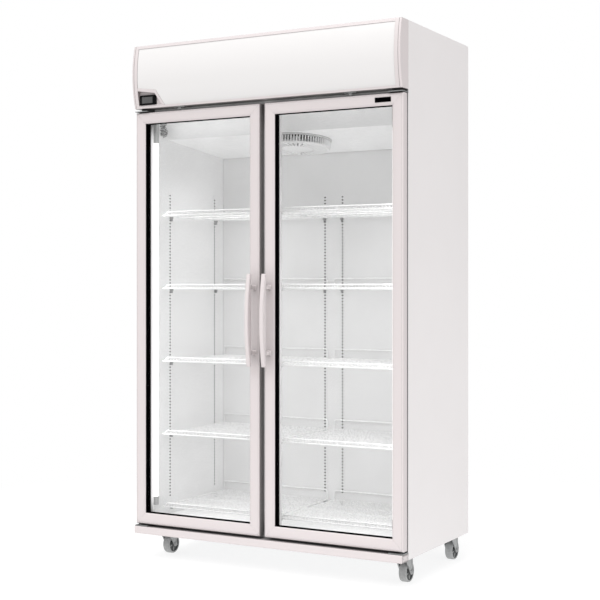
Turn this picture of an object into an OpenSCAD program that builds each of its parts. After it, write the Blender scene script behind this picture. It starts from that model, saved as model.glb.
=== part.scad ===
// Two-door glass door merchandiser: an upright refrigerated display cabinet on casters, with
// a lit canopy over the doors and a top-mounted refrigeration unit behind the canopy.
// Each piece is drawn from the front edge of the side panels (y = 0, +Y towards the back), and
// then shifted so that the origin lies on the floor under the middle of the bounding box.

/* [Cabinet] */
// Overall height, from the floor to the top of the canopy
body_h = 2000; // [1960:10:2100]
// Overall width over the side panels
body_w = 1144; // [1130:2:1180]
// Depth of the side panels
body_d = 571; // [565:1:600]
// Height of the cabinet's underside above the floor
base_z = 104; // [104:1:110]
// Thickness of an insulated side wall
wall_t = 50; // [48:1:54]
// Thickness of the insulated back wall
back_t = 59; // [55:1:64]
// Thickness of the insulated floor and of the insulated ceiling
floor_t = 52; // [46:1:56]
// Thickness of the outer and inner sheet metal
sheet_t = 1; // [0.8:0.1:1.2]

/* [Canopy] */
// Height of the canopy
canopy_h = 243; // [235:1:250]
// Radius of the canopy's curved front
canopy_r = 455.6; // [450:0.1:470]
// How far the middle of the canopy stands in front of the side panels
canopy_out = 71; // [70:0.5:76]
// Thickness of the cheek that closes each end of the canopy
end_cap_w = 8.5; // [7:0.5:12]
// Width of the frame strip between a cheek and the sign panel
stile_w = 15; // [12:0.5:20]
// Height of the rim above the sign panel
rim_top_h = 12; // [8:0.5:14]
// Height of the rim below the sign panel
rim_low_h = 8; // [6:0.5:10]

/* [Doors] */
// Gap between the two doors
door_gap = 21; // [16:1:24]
// Distance from the cabinet's side to the door's outer edge
door_side_gap = 0; // [0:0.5:3]
// Thickness of a door frame, without its seal
door_t = 32; // [30:1:34]
// Distance from the back of a door frame to the cabinet
door_seal_gap = 12; // [11:0.5:14]
// Width of a door frame member
member_w = 43; // [41:1:48]
// Thickness of one glass pane
pane_t = 4; // [3:0.5:5]

/* [Handles] */
// Length of a door handle
handle_l = 342; // [300:2:400]
// Width of a door handle, seen from the front
handle_w = 16; // [14:1:20]
// Height of the middle of the handles above the floor
handle_z = 940; // [880:5:1020]
// How far the middle of the handle's bow stands in front of the door
handle_out = 62; // [58:1:66]
// Distance between the two handle posts
post_pitch = 242; // [220:2:260]

/* [Shelves] */
// Number of shelves behind each door
shelf_count = 5; // [2:1:5]
// Height of the lowest shelf above the floor
shelf_z = 195; // [190:1:205]
// Distance from one shelf to the next
shelf_pitch = 287.5; // [275:12.5:287.5]
// Distance between two deck wires
wire_pitch = 13.5; // [12:0.5:20]
// Distance between two support holes in a pilaster
hole_pitch = 12.5; // [12:0.5:16]

/* [Casters] */
// Radius of a caster wheel
wheel_r = 37.5; // [36:0.5:38]
// Width of a caster wheel
wheel_w = 28; // [24:1:30]
// Distance from the swivel axis back to the wheel's axle
trail = 22; // [20:1:24]

/* [Hidden] */
$fn = 64;

// Colours
frame_white = [0.92, 0.89, 0.89];
panel_white = [0.90, 0.89, 0.885];
liner_grey = [0.84, 0.85, 0.85];
wire_white = [0.95, 0.95, 0.95];
part_grey = [0.60, 0.61, 0.61];
dark_grey = [0.25, 0.26, 0.26];
black = [0.03, 0.03, 0.03];
foam_cream = [0.93, 0.87, 0.66];
metal = [0.72, 0.73, 0.74];
copper = [0.72, 0.43, 0.26];
glass_tint = [0.80, 0.90, 0.88, 0.3];
lamp_white = [1.0, 1.0, 0.97];

// Cabinet shell
gap = 0.2;
half_w = body_w / 2;
corner_r = 3;
lip_w = 14;
shell_x = half_w - sheet_t - gap;
shell_y = body_d - 2 * sheet_t - gap;
back_y = body_d - back_t;
inner_x = half_w - wall_t;
floor_z = base_z + floor_t;
canopy_z = body_h - canopy_h;
ceiling_z = canopy_z - 45;
frame_t = 12;

// Sill rail below the doors
rail_d = 54.4;
rail_z0 = base_z - 3;
rail_z1 = base_z + 25;
rail_t = 1.5;
rail_screw_y = [-42, -10];
rail_head_r = 3.6;
rail_shank_r = 2.2;

// Centre mullion between the two door openings
mullion_x = 34;
mullion_d = 46;

// Canopy front: an arc about an axis along X
arc_z = body_h - canopy_h / 2 + 5.6;
arc_y = canopy_r - canopy_out;
round_r = 3;
seam_d = 1.2;
frame_x = half_w - end_cap_w;
sign_x = frame_x - stile_w;
sign_inset = 1.8;
sign_t = 3;
canopy_t = 2;

// Temperature controller, in the canopy's lower left corner
pocket_floor_y = -50;
pocket_back_y = -46;
display_x = -507;
display_w = 74;
display_h = 38;
display_z = canopy_z + 31;
display_front_y = -58.5;
key_x = display_x + display_w / 2 - 7;
key_w = 6;
key_h = 8;
key_pitch = 11;
key_depth = 3;
key_proud = 0.9;
key_gap = 0.3;
key_pocket = 4.2;

// Doors
door_in = door_gap / 2;
door_out = half_w - door_side_gap;
door_w = door_out - door_in;
door_z0 = rail_z1 + 9.5;
door_z1 = canopy_z - 15;
door_h = door_z1 - door_z0;
door_back = -door_seal_gap;
door_front = door_back - door_t;
edge_r = 5;
line_w = 0.8;
line_d = 0.5;
bevel_w = 8;
bevel_d = 4;
lip_t = 1.5;
rebate = 8;
corner_solid = 60;
mitre_gap = 0.15;
glass_front = door_front + bevel_d + lip_t;
glass_back = door_back - gap;
unit_inset = member_w - rebate + 0.5;
spacer_w = 8.5;
gasket_inset = 12;
gasket_w = 14;
gasket_back = -0.5;
bead_t = 6.8;

// Door hinges: a pin up from the sill and a pin down from the canopy
pivot_x = half_w - 12;
pivot_y = -28;
pin_r = 5;
pin_fit = 0.05;
pin_l = 20;

// Handles
handle_x = door_in + 21.3;
handle_back_y = door_front - 33;
handle_end_t = 13;
post_h = 14;
post_w = 12;

// Interior
pil_t = 1.5;
pil_w = 20;
pil_front_y = 114;
pil_rear_y = 441;
pil_centre_x = [-29, 51];
hole_w = 5;
hole_h = 6;
hole_z0 = floor_z + 70;
hole_count = floor((ceiling_z - 286 - hole_z0) / hole_pitch) + 1;
shelf_x0 = 13;
shelf_x1 = inner_x - 6;
shelf_y0 = 47;
shelf_y1 = back_y - 4;
wire_d = 3;
rim_d = 6;
deck_t = 4;
lip_inset = 22;
lip_rise = 16;
stop_rise = 42;
lamp_y0 = 2;
lamp_y1 = 18;
lamp_d = 14;
lamp_z0 = floor_z + 84;
lamp_z1 = ceiling_z - 85;

// Air duct cover and fan under the ceiling
duct_y0 = 94;
duct_y1 = back_y - 6;
duct_z0 = ceiling_z - 63;
duct_z1 = ceiling_z - 102;
duct_t = 1.2;
duct_slope = atan((duct_z0 - duct_z1) / (duct_y1 - duct_y0));
fan_y = 230;
fan_z = duct_z0 - (fan_y - duct_y0) * tan(duct_slope);
guard_r = 128;
guard_h = 38;
guard_slots = 72;
fan_hole_r = 118;
shaft_r = 4;
shaft_fit = 0.05;

// Refrigeration unit on the machine deck
deck_z = canopy_z + sheet_t;
cond_x = 60;
cond_y = 110;
cond_w = 260;
cond_h = 200;
cond_d = 44;
cond_z = deck_z + 18;
shroud_y = cond_y + cond_d + 6;
cond_fan_x = cond_x + cond_w / 2;
cond_fan_y = shroud_y + 18;
cond_fan_z = cond_z + cond_h / 2;
comp_x = -260;
comp_y = 330;

// Casters
caster_x = half_w - 58;
caster_y = [90, body_d - 49];
plate_t = 3;
plate_w = 80;
plate_l = 70;
race_h = 5;
king_r = 6;
king_fit = 0.05;
crown_z1 = base_z - plate_t - race_h - 0.5;
crown_t = 4;
leg_t = 3;
leg_x = wheel_w / 2 + 2;
axle_r = 4;
axle_fit = 0.05;

// Bounding box: from the front of the handles to the back of the rear wheels
box_front = door_front - handle_out;
box_back = caster_y[1] + trail + wheel_r;
y_shift = -(box_front + box_back) / 2;

// ---- Helpers ----

// Puts cabinet coordinates into the part's own frame
module place() translate([0, y_shift, 0]) children();

// A box between two corners
module block(low, high) translate(low) cube(high - low);

// The children on the right and, mirrored, on the left
module both_sides() {
    children();
    mirror([1, 0, 0]) children();
}

// Points of an arc about c from angle a0 to angle a1
function arc(c, r, a0, a1, n = 8) =
    [for (i = [0:n]) c + r * [cos(a0 + (a1 - a0) * i / n), sin(a0 + (a1 - a0) * i / n)]];

// A closed outline in the Y-Z plane, drawn out along X between x0 and x1
module along_x(x0, x1) translate([x0, 0, 0]) rotate([90, 0, 90]) linear_extrude(x1 - x0) children();

// A closed outline in the X-Z plane, drawn out along Y between y0 and y1
module along_y(y0, y1) translate([0, y1, 0]) rotate([90, 0, 0]) linear_extrude(y1 - y0) children();

// A round rod from p to q
module rod(p, q, r) {
    d = q - p;
    translate(p) rotate([0, acos(d[2] / norm(d)), atan2(d[1], d[0])]) cylinder(r = r, h = norm(d));
}

// A bent tube through a list of points, with a ball at each bend
module tube(points, r) {
    for (i = [0:len(points) - 2]) rod(points[i], points[i + 1], r);
    for (i = [1:len(points) - 2]) translate(points[i]) sphere(r = r, $fn = 24);
}

// A flat ring in the X-Z plane between two rectangles, from y0 to y1
module frame_ring(outer_low, outer_high, inset, y0, y1) difference() {
    block([outer_low[0], y0, outer_low[1]], [outer_high[0], y1, outer_high[1]]);
    block([outer_low[0] + inset, y0 - 1, outer_low[1] + inset],
        [outer_high[0] - inset, y1 + 1, outer_high[1] - inset]);
}

// Rows of vent slots, cut through whatever they are taken from, along Y
module vent_slots(x0, z0, columns, rows, size, pitch) {
    for (i = [0:columns - 1]) for (k = [0:rows - 1])
        translate([x0 + i * pitch[0], -1, z0 + k * pitch[1]]) cube([size[0], 10, size[1]]);
}

// A solid of revolution down -Z whose radius falls from head_r to shank_r
module countersink(head_r, shank_r, length) rotate_extrude() polygon([
    [0, 0], [head_r, 0], [shank_r, shank_r - head_r], [shank_r, -length], [0, -length]]);

// ---- Cabinet shell ----

module side_panel() {
    r_in = corner_r - sheet_t;
    front = [half_w - corner_r, corner_r];
    rear = [half_w - corner_r, body_d - corner_r];
    outer = concat([[half_w - lip_w, 0]], arc(front, corner_r, -90, 0), arc(rear, corner_r, 0, 90),
        [[half_w - lip_w, body_d]]);
    inner = concat([[half_w - lip_w, body_d - sheet_t]], arc(rear, r_in, 90, 0),
        arc(front, r_in, 0, -90), [[half_w - lip_w, sheet_t]]);
    translate([0, 0, base_z]) linear_extrude(body_h - base_z) polygon(concat(outer, inner));
}

module side_panels() place() color(panel_white) both_sides() side_panel();

module back_panel() place() color(panel_white) difference() {
    block([corner_r - half_w, shell_y + gap, base_z],
        [half_w - corner_r, body_d - sheet_t, body_h - sheet_t - gap]);
    translate([0, shell_y - 1, 0]) {
        vent_slots(-430, canopy_z + 50, 8, 9, [70, 5], [112, 18]);
        translate([500, 0, canopy_z + 30]) rotate([-90, 0, 0]) cylinder(r = 7, h = 6);
    }
}

module base_pan() place() color(metal)
    block([-shell_x, corner_r, base_z], [shell_x, shell_y, base_z + 1.5]);

module top_cover() place() color(panel_white) difference() {
    union() {
        block([-shell_x, corner_r, body_h - sheet_t], [shell_x, shell_y, body_h]);
        block([lip_w + gap - half_w, gap, body_h - sheet_t],
            [half_w - lip_w - gap, corner_r + 1, body_h]);
    }
    for (i = [0:7]) for (k = [0:11])
        translate([-430 + i * 112, 170 + k * 26, body_h - 5]) cube([76, 8, 10]);
}

module machine_deck() place() color(metal)
    block([-shell_x, corner_r, canopy_z], [shell_x, shell_y, canopy_z + sheet_t]);

module foam_insulation() place() color(foam_cream) difference() {
    block([-shell_x, frame_t, base_z + 1.5], [shell_x, shell_y, canopy_z]);
    block([-inner_x - sheet_t, 0, floor_z - sheet_t],
        [inner_x + sheet_t, back_y + sheet_t, ceiling_z + sheet_t]);
}

module inner_liner() place() color(liner_grey) {
    both_sides() block([inner_x, frame_t, floor_z - sheet_t],
        [inner_x + sheet_t, back_y + sheet_t, ceiling_z + sheet_t]);
    block([-inner_x + gap, back_y, floor_z], [inner_x - gap, back_y + sheet_t, ceiling_z]);
    block([-inner_x + gap, frame_t, floor_z - sheet_t],
        [inner_x - gap, back_y - gap, floor_z]);
    block([-inner_x + gap, frame_t, ceiling_z],
        [inner_x - gap, back_y - gap, ceiling_z + sheet_t]);
}

module front_frame() place() color(frame_white) {
    x = half_w - lip_w - gap;
    both_sides() block([inner_x, 0, floor_z + gap], [x, frame_t, ceiling_z - gap]);
    block([-x, 0, base_z + 1.5], [x, frame_t, floor_z]);
    block([-x, 0, ceiling_z], [x, frame_t, canopy_z]);
}

module centre_mullion() place() color(liner_grey)
    block([-mullion_x, 0, floor_z], [mullion_x, mullion_d, ceiling_z]);

module sill_rail() place() color(frame_white) difference() {
    outer = concat([[0, rail_z0], [0, rail_z1]], arc([3 - rail_d, rail_z1 - 3], 3, 90, 180, 5),
        arc([3 - rail_d, rail_z0 + 3], 3, 180, 270, 5));
    along_x(-half_w, half_w) polygon(outer);
    block([rail_t - half_w, rail_t - rail_d, rail_z0 + rail_t],
        [half_w - rail_t, 1, rail_z1 - rail_t]);
    both_sides() for (y = rail_screw_y)
        translate([half_w, y, (rail_z0 + rail_z1) / 2]) rotate([0, 90, 0])
            countersink(rail_head_r + 0.1, rail_shank_r + 0.1, rail_t + 1);
}

// ---- Inside ----

// One row of support holes, as posts to cut away; the strip's face is at y = 0
module hole_row() for (i = [0:hole_count - 1])
    translate([-hole_w / 2, -1, hole_z0 + i * hole_pitch]) cube([hole_w, pil_t + 2, hole_h]);

// One pilaster strip with its face towards -Y
module pilaster() difference() {
    block([-pil_w / 2, 0, hole_z0 - 20], [pil_w / 2, pil_t, hole_z0 + hole_count * hole_pitch + 10]);
    hole_row();
}

module shelf_pilasters() place() color(liner_grey) {
    for (x = pil_centre_x) translate([x, back_y - pil_t, 0]) pilaster();
    both_sides() for (y = [pil_front_y, pil_rear_y])
        translate([inner_x - pil_t, y, 0]) rotate([0, 0, -90]) pilaster();
}

// A shelf clip: a bracket under the shelf's rim with a hook into the pilaster, facing -Y
module clip() {
    block([-5, -12, -10], [5, -gap, -deck_t / 2 - gap]);
    block([-1.5, -12, -20], [1.5, -gap, -10]);
}

module shelf_clips() place() color(wire_white)
    for (i = [0:shelf_count - 1]) translate([0, 0, shelf_z + i * shelf_pitch]) {
        both_sides() {
            for (y = [pil_front_y, pil_rear_y])
                translate([inner_x - pil_t, y, 0]) rotate([0, 0, -90]) clip();
            translate([mullion_x - 10, mullion_d, 0]) rotate([0, 0, 180]) clip();
        }
        for (x = pil_centre_x) translate([x, back_y - pil_t, 0]) clip();
    }

// Deck of one shelf: a rim, a cross bar and the front-to-back wires
module shelf_deck() {
    wire_count = floor((shelf_x1 - shelf_x0 - 2 * rim_d) / wire_pitch);
    span = shelf_x1 - shelf_x0;
    translate([0, 0, -deck_t / 2]) linear_extrude(deck_t) {
        difference() {
            translate([shelf_x0, shelf_y0]) square([span, shelf_y1 - shelf_y0]);
            translate([shelf_x0 + rim_d, shelf_y0 + rim_d])
                square([span - 2 * rim_d, shelf_y1 - shelf_y0 - 2 * rim_d]);
        }
        for (i = [1:wire_count])
            translate([shelf_x0 + rim_d / 2 + i * wire_pitch, shelf_y0 + 1])
                square([wire_d, shelf_y1 - shelf_y0 - 2]);
        translate([shelf_x0 + 1, (shelf_y0 + shelf_y1 - rim_d) / 2]) square([span - 2, rim_d]);
    }
}

// Low rail along the front edge of one shelf
module shelf_lip() along_y(shelf_y0, shelf_y0 + wire_d) {
    x0 = shelf_x0 + lip_inset;
    x1 = shelf_x1 - lip_inset;
    z0 = deck_t / 2 + gap;
    difference() {
        polygon([[x0, z0], [x1, z0], [x1, lip_rise - 5], [x1 - 5, lip_rise],
            [x0 + 5, lip_rise], [x0, lip_rise - 5]]);
        polygon([[x0 + 5, z0 + 2], [x1 - 5, z0 + 2], [x1 - 5, lip_rise - 6],
            [x1 - 7, lip_rise - 5], [x0 + 7, lip_rise - 5], [x0 + 5, lip_rise - 6]]);
    }
}

// Raised wire at the back of one shelf that keeps goods off the back wall
module shelf_stop() along_y(shelf_y1 - rim_d, shelf_y1) difference() {
    x0 = shelf_x0;
    x1 = shelf_x1;
    z0 = deck_t / 2 + gap;
    polygon(concat([[x0, z0], [x1, z0]], arc([x1 - 10, stop_rise - 10], 10, 0, 90, 5),
        arc([x0 + 10, stop_rise - 10], 10, 90, 180, 5)));
    polygon(concat([[x0 + rim_d, z0 + 3], [x1 - rim_d, z0 + 3]],
        arc([x1 - 10, stop_rise - 10], 4, 0, 90, 4), arc([x0 + 10, stop_rise - 10], 4, 90, 180, 4)));
}

module shelf_stack() for (i = [0:shelf_count - 1]) translate([0, 0, shelf_z + i * shelf_pitch]) {
    shelf_deck();
    shelf_lip();
    shelf_stop();
}

module shelves_left() place() color(wire_white) mirror([1, 0, 0]) shelf_stack();

module shelves_right() place() color(wire_white) shelf_stack();

// Lamp cover section in plan, on the right jamb, grown by g
module lamp_section(g) polygon([
    [inner_x - gap, lamp_y0 - g / 2], [inner_x - gap, lamp_y1 + g],
    [inner_x - lamp_d + 2 - g, lamp_y1 + g], [inner_x - lamp_d - g, lamp_y1 - 2 + g],
    [inner_x - lamp_d - g, lamp_y0 + 2 - g / 2], [inner_x - lamp_d + 2 - g, lamp_y0 - g / 2]]);

module interior_lamps() place() color(lamp_white) both_sides()
    translate([0, 0, lamp_z0]) linear_extrude(lamp_z1 - lamp_z0) lamp_section(0);

module lamp_holders() place() color(part_grey) both_sides() {
    translate([0, 0, lamp_z1 + gap]) linear_extrude(75) lamp_section(1.2);
    translate([0, 0, lamp_z0 - 33]) linear_extrude(33 - gap) lamp_section(1.2);
}

// ---- Air duct, evaporator and its fan ----

// Frame of the evaporator fan: origin where its axis meets the duct cover, +Z up the axis
module fan_frame() translate([0, fan_y, fan_z]) rotate([-duct_slope, 0, 0]) children();

module duct_cover() place() color(liner_grey) difference() {
    along_x(-inner_x + 0.5, inner_x - 0.5) polygon([
        [duct_y0, ceiling_z], [duct_y0, duct_z0], [duct_y1, duct_z1], [duct_y1, duct_z1 + duct_t],
        [duct_y0 + duct_t, duct_z0 + duct_t], [duct_y0 + duct_t, ceiling_z]]);
    fan_frame() cylinder(r = fan_hole_r, h = 20, center = true);
}

module fan_guard() place() color(wire_white) fan_frame() translate([0, 0, -gap]) difference() {
    floor_t = 2.5;
    rotate_extrude() polygon([
        [fan_hole_r, 0], [guard_r + 5, 0], [guard_r + 5, -4], [guard_r, -4],
        [guard_r, 5 - guard_h], [guard_r - 4, -guard_h], [0, -guard_h],
        [0, floor_t - guard_h], [guard_r - 6, floor_t - guard_h], [guard_r - 3, 7 - guard_h],
        [guard_r - 3, -4], [fan_hole_r, -4]]);
    for (i = [0:guard_slots - 1]) rotate([0, 0, i * 360 / guard_slots])
        translate([guard_r - 8, -3, 8 - guard_h]) cube([16, 6, guard_h - 13]);
    for (i = [0:guard_slots / 2 - 1]) rotate([0, 0, i * 720 / guard_slots])
        translate([62, -2.5, -guard_h - 1]) cube([52, 5, floor_t + 2]);
}

// A motor with its shaft down -Z and a strap of half length reach that carries it
module motor(body_r, body_l, shaft_l, reach) {
    translate([0, 0, 4]) cylinder(r = body_r, h = body_l);
    translate([-reach, -8, 1]) cube([2 * reach, 16, 3]);
    translate([0, 0, -shaft_l]) cylinder(r = shaft_r, h = shaft_l + 5);
}

// A fan rotor with its hub from z = -height to 0 and pitched blades round it
module rotor(hub_r, tip_r, height, blades, chord, pitch) difference() {
    union() {
        translate([0, 0, -height]) cylinder(r = hub_r, h = height);
        for (i = [0:blades - 1]) rotate([0, 0, i * 360 / blades])
            translate([hub_r - 4, 0, -height / 2]) rotate([pitch, 0, 0])
                translate([0, -chord / 2, -1]) cube([tip_r - hub_r + 4, chord, 2]);
    }
    translate([0, 0, -height - 1]) cylinder(r = shaft_r + shaft_fit, h = height + 2);
}

module fan_motors() place() color(dark_grey) {
    fan_frame() translate([0, 0, duct_t]) motor(38, 48, 26, 132);
    translate([cond_fan_x, shroud_y + 33.2, cond_fan_z]) rotate([-90, 0, 0])
        motor(36, 50, 25, 104);
}

module evaporator_fan() place() color(dark_grey)
    fan_frame() translate([0, 0, -8]) rotor(26, 110, 20, 5, 46, 28);

module condenser_fan() place() color(dark_grey)
    translate([cond_fan_x, cond_fan_y + 10, cond_fan_z]) rotate([-90, 0, 0])
        rotor(26, 88, 20, 5, 42, 28);

// A finned block w wide, d deep and h high, with end plates and return bends on both ends
module finned_coil(w, d, h, rows) {
    fin_pitch = 10;
    fins = floor(w / fin_pitch);
    linear_extrude(h) {
        translate([0, d * 0.3]) square([w, d * 0.4]);
        for (i = [0:fins]) translate([i * w / fins - 0.5, 0]) square([1, d]);
    }
    for (s = [0, 1], k = [0:rows - 1])
        translate([s * w + (2 * s - 1) * 0.3, d / 2, h * (k + 0.5) / rows])
            mirror([1 - s, 0, 0]) rotate([90, 0, 0])
                rotate_extrude(angle = 180, start = -90) translate([h * 0.28 / rows, 0]) circle(r = 4);
}

module evaporator_coil() place() color(metal)
    translate([-400, 345, duct_z1 + 24]) finned_coil(800, 120, 68, 3);

module condenser_coil() place() color(metal)
    translate([cond_x, cond_y, cond_z]) finned_coil(cond_w, cond_d, cond_h, 6);

module condenser_shroud() place() color(part_grey) {
    difference() {
        union() {
            block([cond_x, shroud_y, cond_z], [cond_x + cond_w, shroud_y + 1.5, cond_z + cond_h]);
            translate([cond_fan_x, shroud_y, cond_fan_z]) rotate([-90, 0, 0]) cylinder(r = 97, h = 34);
        }
        translate([cond_fan_x, shroud_y - 1, cond_fan_z]) rotate([-90, 0, 0]) cylinder(r = 95, h = 40);
    }
    both = [cond_x + 2, cond_x + cond_w - 12];
    for (x = both) block([x, cond_y, deck_z], [x + 10, shroud_y + 30, cond_z - gap]);
}

// ---- Refrigeration unit ----

module compressor() place() translate([comp_x, comp_y, deck_z]) {
    shell_h = 120;
    color(black) translate([0, 0, 14]) rotate_extrude() polygon(concat([[0, 0], [60, 0]],
        arc([60, 18], 18, -90, 0, 5), arc([33, shell_h], 45, 0, 90, 8), [[0, shell_h + 45]]));
    color(dark_grey) translate([0, 0, 13.5]) difference() {
        translate([-110, -80, -3]) cube([220, 160, 3]);
        for (x = [-95, 95], y = [-65, 65]) translate([x, y, -4]) cylinder(r = 5, h = 5);
    }
    color(black) for (x = [-95, 95], y = [-65, 65]) translate([x, y, 0]) {
        cylinder(r = 12, h = 10);
        cylinder(r = 4, h = 20);
    }
}

module refrigerant_pipes() place() color(copper) {
    r = 4;
    top_z = deck_z + 190;
    rear_y = comp_y + 30;
    right_x = cond_x - 26;
    tube([[comp_x + 74, rear_y, deck_z + 60], [comp_x + 130, rear_y, deck_z + 60],
        [comp_x + 130, rear_y, top_z], [right_x, rear_y, top_z], [right_x, cond_y + 22, top_z],
        [cond_x - 16, cond_y + 22, top_z]], r);
    tube([[comp_x, comp_y + 79, deck_z + 90], [comp_x, comp_y + 120, deck_z + 90],
        [comp_x + 170, comp_y + 120, deck_z + 90], [comp_x + 170, comp_y + 120, deck_z + 0.5]], 6);
    rod([right_x, cond_y + 90, top_z], [right_x, cond_y + 190, top_z], 13);
}

module electrical_box() place() {
    low = [420, 300, deck_z + 0.5];
    size = [110, 150, 80];
    color(part_grey) translate(low) difference() {
        cube(size);
        translate([2, 2, 2]) cube([size[0] - 4, size[1] - 4, size[2]]);
    }
    color(metal) translate(low + [-1, -1, size[2] + gap]) cube([size[0] + 2, size[1] + 2, 2]);
    color(black) translate(low + [20, 20, 2 + gap]) cube([60, 100, 30]);
}

module power_cord() place() color(black) {
    cord_r = 3.5;
    exit_z = canopy_z + 30;
    drop_y = body_d + 5.5;
    bend = 5;
    plug_z = exit_z - 420;
    translate([500, 452, exit_z]) rotate([-90, 0, 0]) cylinder(r = cord_r, h = drop_y - bend - 452);
    translate([500, drop_y - bend, exit_z - bend]) rotate([90, 0, 90])
        rotate_extrude(angle = 90) translate([bend, 0]) circle(r = cord_r);
    translate([500, drop_y, plug_z]) cylinder(r = cord_r, h = exit_z - bend - plug_z);
    translate([500 - 17, drop_y - 4.5, plug_z - 40]) cube([34, 9, 40]);
    for (x = [-9, 9]) translate([500 + x - 1, drop_y - 3, plug_z - 57]) cube([2, 6, 18]);
}

// ---- Canopy ----

// Full ring about the canopy's arc axis, from a profile of radius across and x up
module arc_ring() translate([0, arc_y, arc_z]) rotate([0, 90, 0]) rotate_extrude($fn = 180) children();

// Box that trims a canopy piece between two heights, in front of the cabinet
module canopy_trim(z0, z1, back = 0) block([-half_w - 1, -canopy_out - 5, z0], [half_w + 1, back, z1]);

// Outline of the controller's surround, drawn in X-Z and grown by g on its free sides
module bezel_outline(g) polygon([
    [-sign_x + gap, canopy_z + rim_low_h + gap], [-sign_x + gap, canopy_z + 67 + g],
    [display_x + 37 + g / 2, canopy_z + 55 + g], [display_x + 66 + g, canopy_z + rim_low_h + gap]]);

// Ring section of the canopy as wide as 2 * x, with its two outer edges bevelled
module canopy_section(x) polygon([[canopy_r - 90, -x], [canopy_r - seam_d, -x],
    [canopy_r, seam_d - x], [canopy_r, x - seam_d], [canopy_r - seam_d, x], [canopy_r - 90, x]]);

module canopy_frame() place() color(frame_white) difference() {
    intersection() {
        arc_ring() canopy_section(frame_x - gap);
        canopy_trim(canopy_z, body_h);
    }
    intersection() {
        arc_ring() translate([canopy_r - 95, -half_w]) square([95 - canopy_t, 2 * half_w]);
        canopy_trim(canopy_z + canopy_t, body_h - canopy_t, -canopy_t);
    }
    block([-sign_x, -canopy_out - 5, canopy_z + rim_low_h], [sign_x, -30, body_h - rim_top_h]);
}

// Right end cap: a solid cheek with a rounded outer front edge and a bevel along its seam
module end_cap() intersection() {
    arc_ring() polygon(concat([[canopy_r - 90, frame_x], [canopy_r - seam_d, frame_x],
        [canopy_r, frame_x + seam_d]], arc([canopy_r - round_r, half_w - round_r], round_r, 0, 90, 6),
        [[canopy_r - 90, half_w]]));
    canopy_trim(canopy_z, body_h);
}

module canopy_end_caps() place() color(frame_white) both_sides() end_cap();

module sign_panel() place() color(lamp_white) difference() {
    intersection() {
        arc_ring() translate([canopy_r - sign_inset - sign_t, -sign_x + 0.5])
            square([sign_t, 2 * sign_x - 1]);
        canopy_trim(canopy_z + rim_low_h + gap, body_h - rim_top_h - gap, -30);
    }
    along_y(-canopy_out - 10, 0) bezel_outline(12 + gap);
}

module canopy_lamp() place() {
    color(lamp_white) translate([-500, -26, arc_z]) rotate([0, 90, 0]) cylinder(r = 13, h = 1000);
    color(part_grey) for (x = [-520, 500 + gap])
        block([x, -42, arc_z - 16], [x + 20 - gap, -canopy_t, arc_z + 16]);
}

module controller_bezel() place() color(frame_white) difference() {
    intersection() {
        along_y(-canopy_out - 5, pocket_back_y) bezel_outline(12);
        arc_ring() translate([canopy_r - 60, -half_w]) square([60, half_w]);
    }
    intersection() {
        along_y(-canopy_out - 6, pocket_floor_y) bezel_outline(0);
        block([-half_w, -canopy_out - 6, display_z - display_h / 2 - gap],
            [0, pocket_floor_y, canopy_z + canopy_h]);
    }
}

// Pocket in the display's face that one key moves in
module key_pocket(k) block(
    [key_x - key_w / 2 - key_gap, display_front_y - 1, display_z + k * key_pitch - key_h / 2 - key_gap],
    [key_x + key_w / 2 + key_gap, display_front_y + key_pocket,
        display_z + k * key_pitch + key_h / 2 + key_gap]);

module controller_display() place() color(black) difference() {
    along_y(display_front_y, pocket_floor_y - gap) translate([display_x, display_z])
        polygon(concat(
            arc([display_w / 2 - 4, display_h / 2 - 4], 4, 0, 90, 5),
            arc([4 - display_w / 2, display_h / 2 - 4], 4, 90, 180, 5),
            arc([4 - display_w / 2, 4 - display_h / 2], 4, 180, 270, 5),
            arc([display_w / 2 - 4, 4 - display_h / 2], 4, 270, 360, 5)));
    for (k = [-1:1]) key_pocket(k);
    block([display_x - 28, display_front_y - 1, display_z - 13],
        [display_x + 23.5, display_front_y + 1, display_z + 13]);
}

// One key of the controller, in row k
module key(k) place() color(dark_grey) block(
    [key_x - key_w / 2, display_front_y - key_proud, display_z + k * key_pitch - key_h / 2],
    [key_x + key_w / 2, display_front_y + key_depth, display_z + k * key_pitch + key_h / 2]);

module key_up() key(1);

module key_set() key(0);

module key_down() key(-1);

// ---- Hinges, switches and screws ----

module hinge_plates() place() color(part_grey) both_sides() {
    x0 = half_w - 57;
    block([x0, -50, rail_z1], [half_w, -4, rail_z1 + 4]);
    translate([pivot_x, pivot_y, rail_z1 + 3.5]) cylinder(r = 9, h = door_z0 - rail_z1 - 4);
    translate([pivot_x, pivot_y, rail_z1 + 3]) cylinder(r = pin_r, h = door_z0 - rail_z1 - 3 + pin_l);
    block([x0, -50, door_z1 + 3], [half_w, -gap, door_z1 + 6]);
    block([x0, -6, door_z1 + 5], [half_w, -gap, canopy_z - gap]);
    translate([pivot_x, pivot_y, door_z1 - pin_l]) cylinder(r = pin_r, h = pin_l + 4);
}

module door_switches() place() color(part_grey) both_sides() {
    block([343, -50, canopy_z - 4], [391, -36, canopy_z - gap]);
    block([360, -46, canopy_z - 12], [372, -40, canopy_z - 3]);
}

// A flush screw along -Z: its head narrows from head_r to shank_r, with a hexagon socket
module flush_screw(head_r, shank_r, length) difference() {
    countersink(head_r, shank_r, length);
    translate([0, 0, -0.8]) cylinder(r = 1.4, h = 2, $fn = 6);
}

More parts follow.
